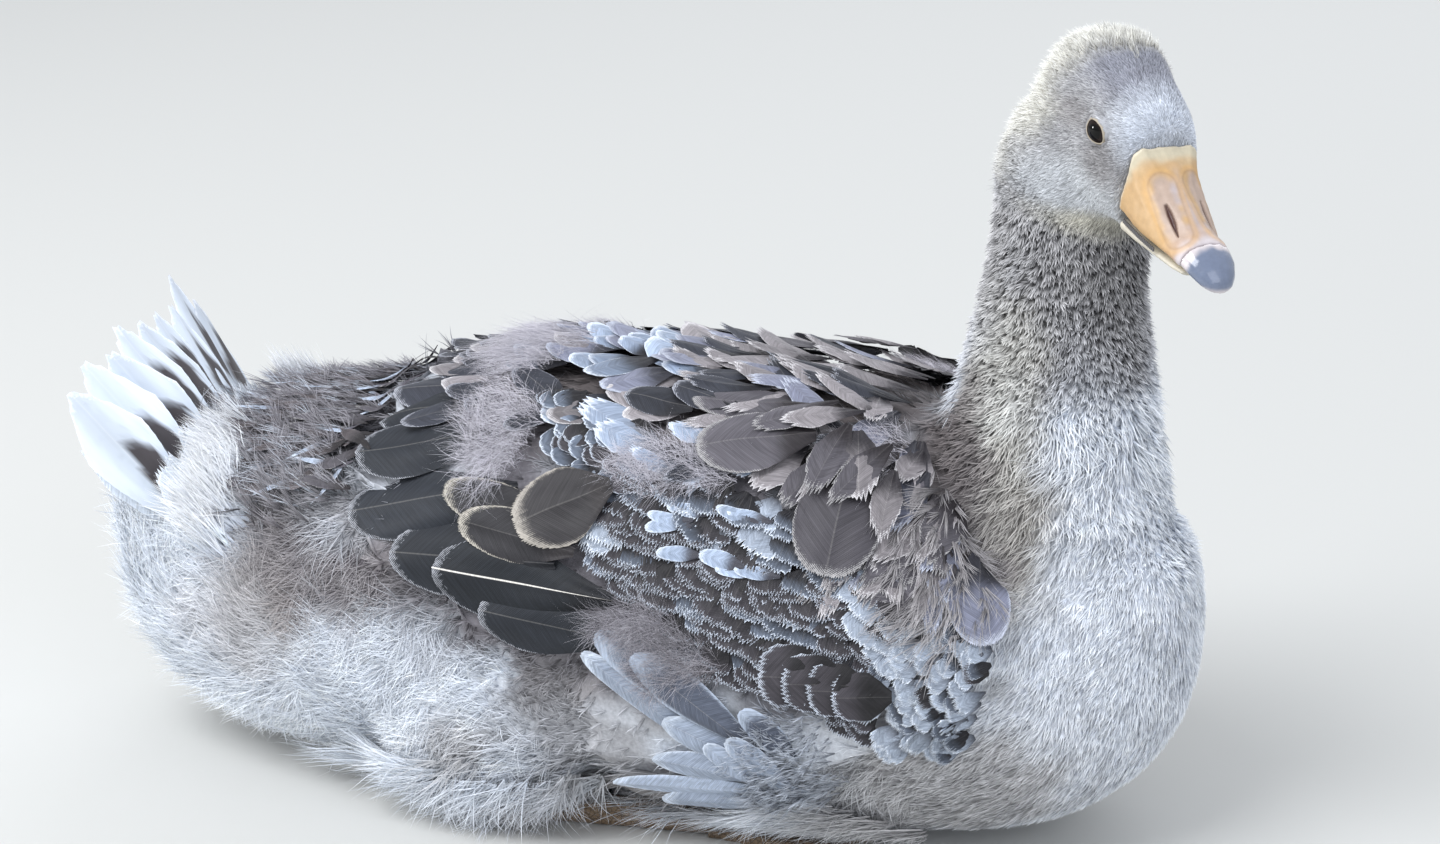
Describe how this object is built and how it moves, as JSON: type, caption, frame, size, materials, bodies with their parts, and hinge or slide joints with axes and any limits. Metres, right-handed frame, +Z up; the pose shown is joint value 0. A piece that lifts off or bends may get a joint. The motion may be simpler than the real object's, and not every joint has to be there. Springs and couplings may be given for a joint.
{
  "type": "domestic goose display model",
  "caption": "Life-size still model of a half-grown domestic goose sitting with its legs folded under it, neck raised and head turned to its right.",
  "frame": {"origin": "middle of the small flat under the belly, on the floor", "axes": "+X the way the body faces, +Y to the bird's left, +Z up"},
  "size_m": [0.5023, 0.214, 0.3512],
  "materials": {
    "head_feather": "matt",
    "neck_down": "matt",
    "breast_feather": "matt",
    "flank_down": "matt",
    "white_feather": "matt",
    "slate_feather": "matt",
    "covert_feather": "matt",
    "mantle_feather": "matt",
    "flight_feather": "matt",
    "bill_horn": "satin",
    "nail_horn": "satin",
    "leg_skin": "matt",
    "eye_cornea": "gloss"
  },
  "bodies": {
    "root": {"bill_lower": "bill_horn", "bill_nail": "nail_horn", "bill_upper": "bill_horn", "breast": "breast_feather", "eye_left": "eye_cornea", "eye_right": "eye_cornea", "foot_left": "leg_skin", "foot_right": "leg_skin", "head": "head_feather", "mantle_left": "mantle_feather", "mantle_right": "mantle_feather", "neck": "neck_down", "primaries_left": "flight_feather", "primaries_right": "flight_feather", "rump": "white_feather", "shank_left": "leg_skin", "shank_right": "leg_skin", "tail": "white_feather", "tertials_left": "slate_feather", "tertials_right": "slate_feather", "thigh_left": "white_feather", "thigh_right": "white_feather", "trunk": "flank_down", "wing_left": "covert_feather", "wing_right": "covert_feather"}
  },
  "joints": []
}
